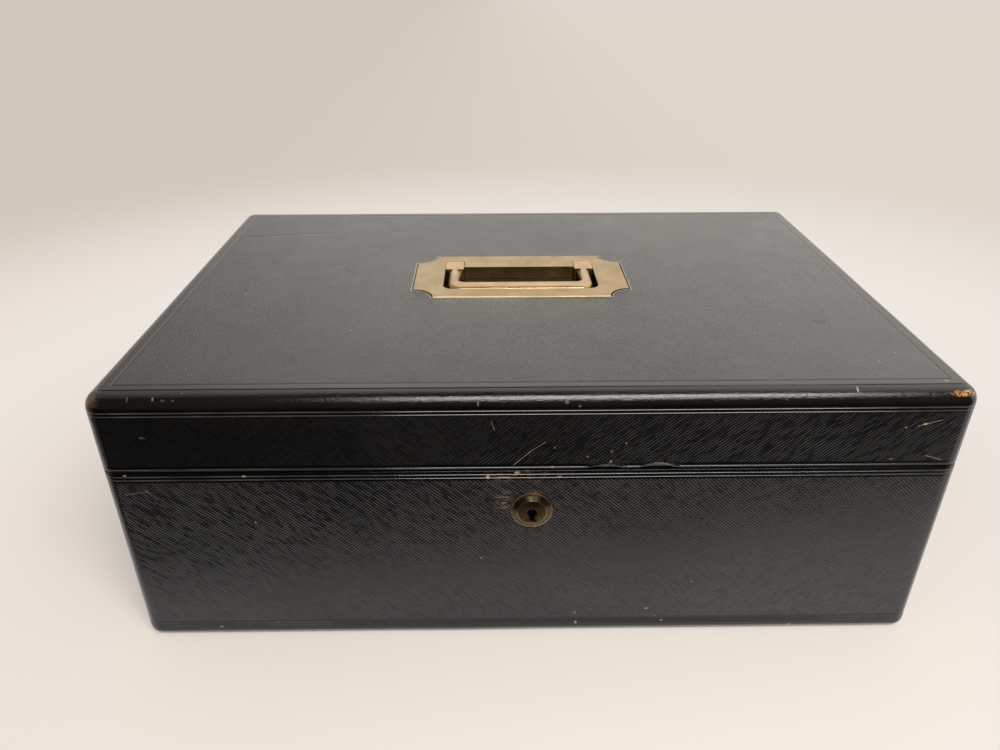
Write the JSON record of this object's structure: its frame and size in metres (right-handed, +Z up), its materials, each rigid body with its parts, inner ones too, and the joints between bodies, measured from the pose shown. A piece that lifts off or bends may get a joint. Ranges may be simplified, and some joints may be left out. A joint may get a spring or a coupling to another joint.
{
  "type": "dispatch box",
  "caption": "Leather-covered wooden dispatch box with a hinged shallow lid, flush folding carrying handle and front lever lock.",
  "frame": {"origin": "middle of the underside, on the surface that the box stands on", "axes": "+X to the right seen from the lock side, +Y from the front with the lock to the hinged back, +Z up"},
  "size_m": [0.356, 0.2472, 0.1297],
  "materials": {
    "black_leather": "straight grain, polished, worn at the edges",
    "carcass_wood": "bare",
    "lining_paper": "matt, embossed paper",
    "lining_board": "thin board covered with lining paper",
    "underside_cloth": "matt bookcloth",
    "handle_brass": "worn satin with light tarnish",
    "lock_brass": "satin, tarnished",
    "hinge_brass": "satin, tarnished",
    "lock_steel": "bright"
  },
  "bodies": {
    "base": {"base_bottom_board": "carcass_wood", "base_front_board": "carcass_wood", "base_back_board": "carcass_wood", "base_left_board": "carcass_wood", "base_right_board": "carcass_wood", "base_cover": "black_leather", "underside_sheet": "underside_cloth", "base_floor_lining": "lining_paper", "base_liner_front": "lining_board", "base_liner_back": "lining_board", "base_liner_left": "lining_board", "base_liner_right": "lining_board", "hinge_left_base_leaf": "hinge_brass", "hinge_right_base_leaf": "hinge_brass", "hinge_pins": "hinge_brass", "hinge_base_screws": "hinge_brass", "lock_case": "lock_brass", "lock_cap": "lock_brass", "lock_screws": "lock_brass", "lock_nozzle": "lock_brass", "lock_drill_pin": "lock_steel", "lever_pivot_post": "lock_steel", "bolt_guide_stud": "lock_steel"},
    "lid": {"lid_top_board": "carcass_wood", "lid_front_board": "carcass_wood", "lid_back_board": "carcass_wood", "lid_left_board": "carcass_wood", "lid_right_board": "carcass_wood", "lid_cover": "black_leather", "lid_ceiling_lining": "lining_paper", "lid_wall_lining": "lining_paper", "hinge_left_lid_leaf": "hinge_brass", "hinge_right_lid_leaf": "hinge_brass", "hinge_lid_screws": "hinge_brass", "hook_plate": "lock_brass", "hook_plate_screws": "lock_brass", "handle_plate": "handle_brass", "handle_pan": "handle_brass", "handle_keeper": "handle_brass", "handle_pins": "handle_brass", "handle_studs": "handle_brass", "handle_nuts": "handle_brass"},
    "handle": {"handle_bail": "handle_brass"},
    "bolt": {"lock_bolt": "lock_brass"},
    "levers": {"lock_lever_1": "lock_brass", "lock_lever_2": "lock_brass", "lock_lever_3": "lock_brass", "lever_springs": "lock_steel"}
  },
  "joints": [
    {"name": "lid_hinge", "type": "hinge", "parent": "base", "child": "lid", "pos_m": [0, 0.1206, 0.0936], "axis": [-1, 0, 0], "range_deg": [0, 100]},
    {"name": "handle_swing", "type": "hinge", "parent": "lid", "child": "handle", "pos_m": [-0.0012, 0.0216, 0.1265], "axis": [-1, 0, 0], "range_deg": [0, 90]},
    {"name": "bolt_slide", "type": "slide", "parent": "base", "child": "bolt", "axis": [1, 0, 0], "range_m": [0, 0.004]},
    {"name": "lever_drop", "type": "hinge", "parent": "base", "child": "levers", "pos_m": [0.02, -0.1138, 0.0712], "axis": [0, 1, 0], "range_deg": [-3.4, 0]}
  ]
}
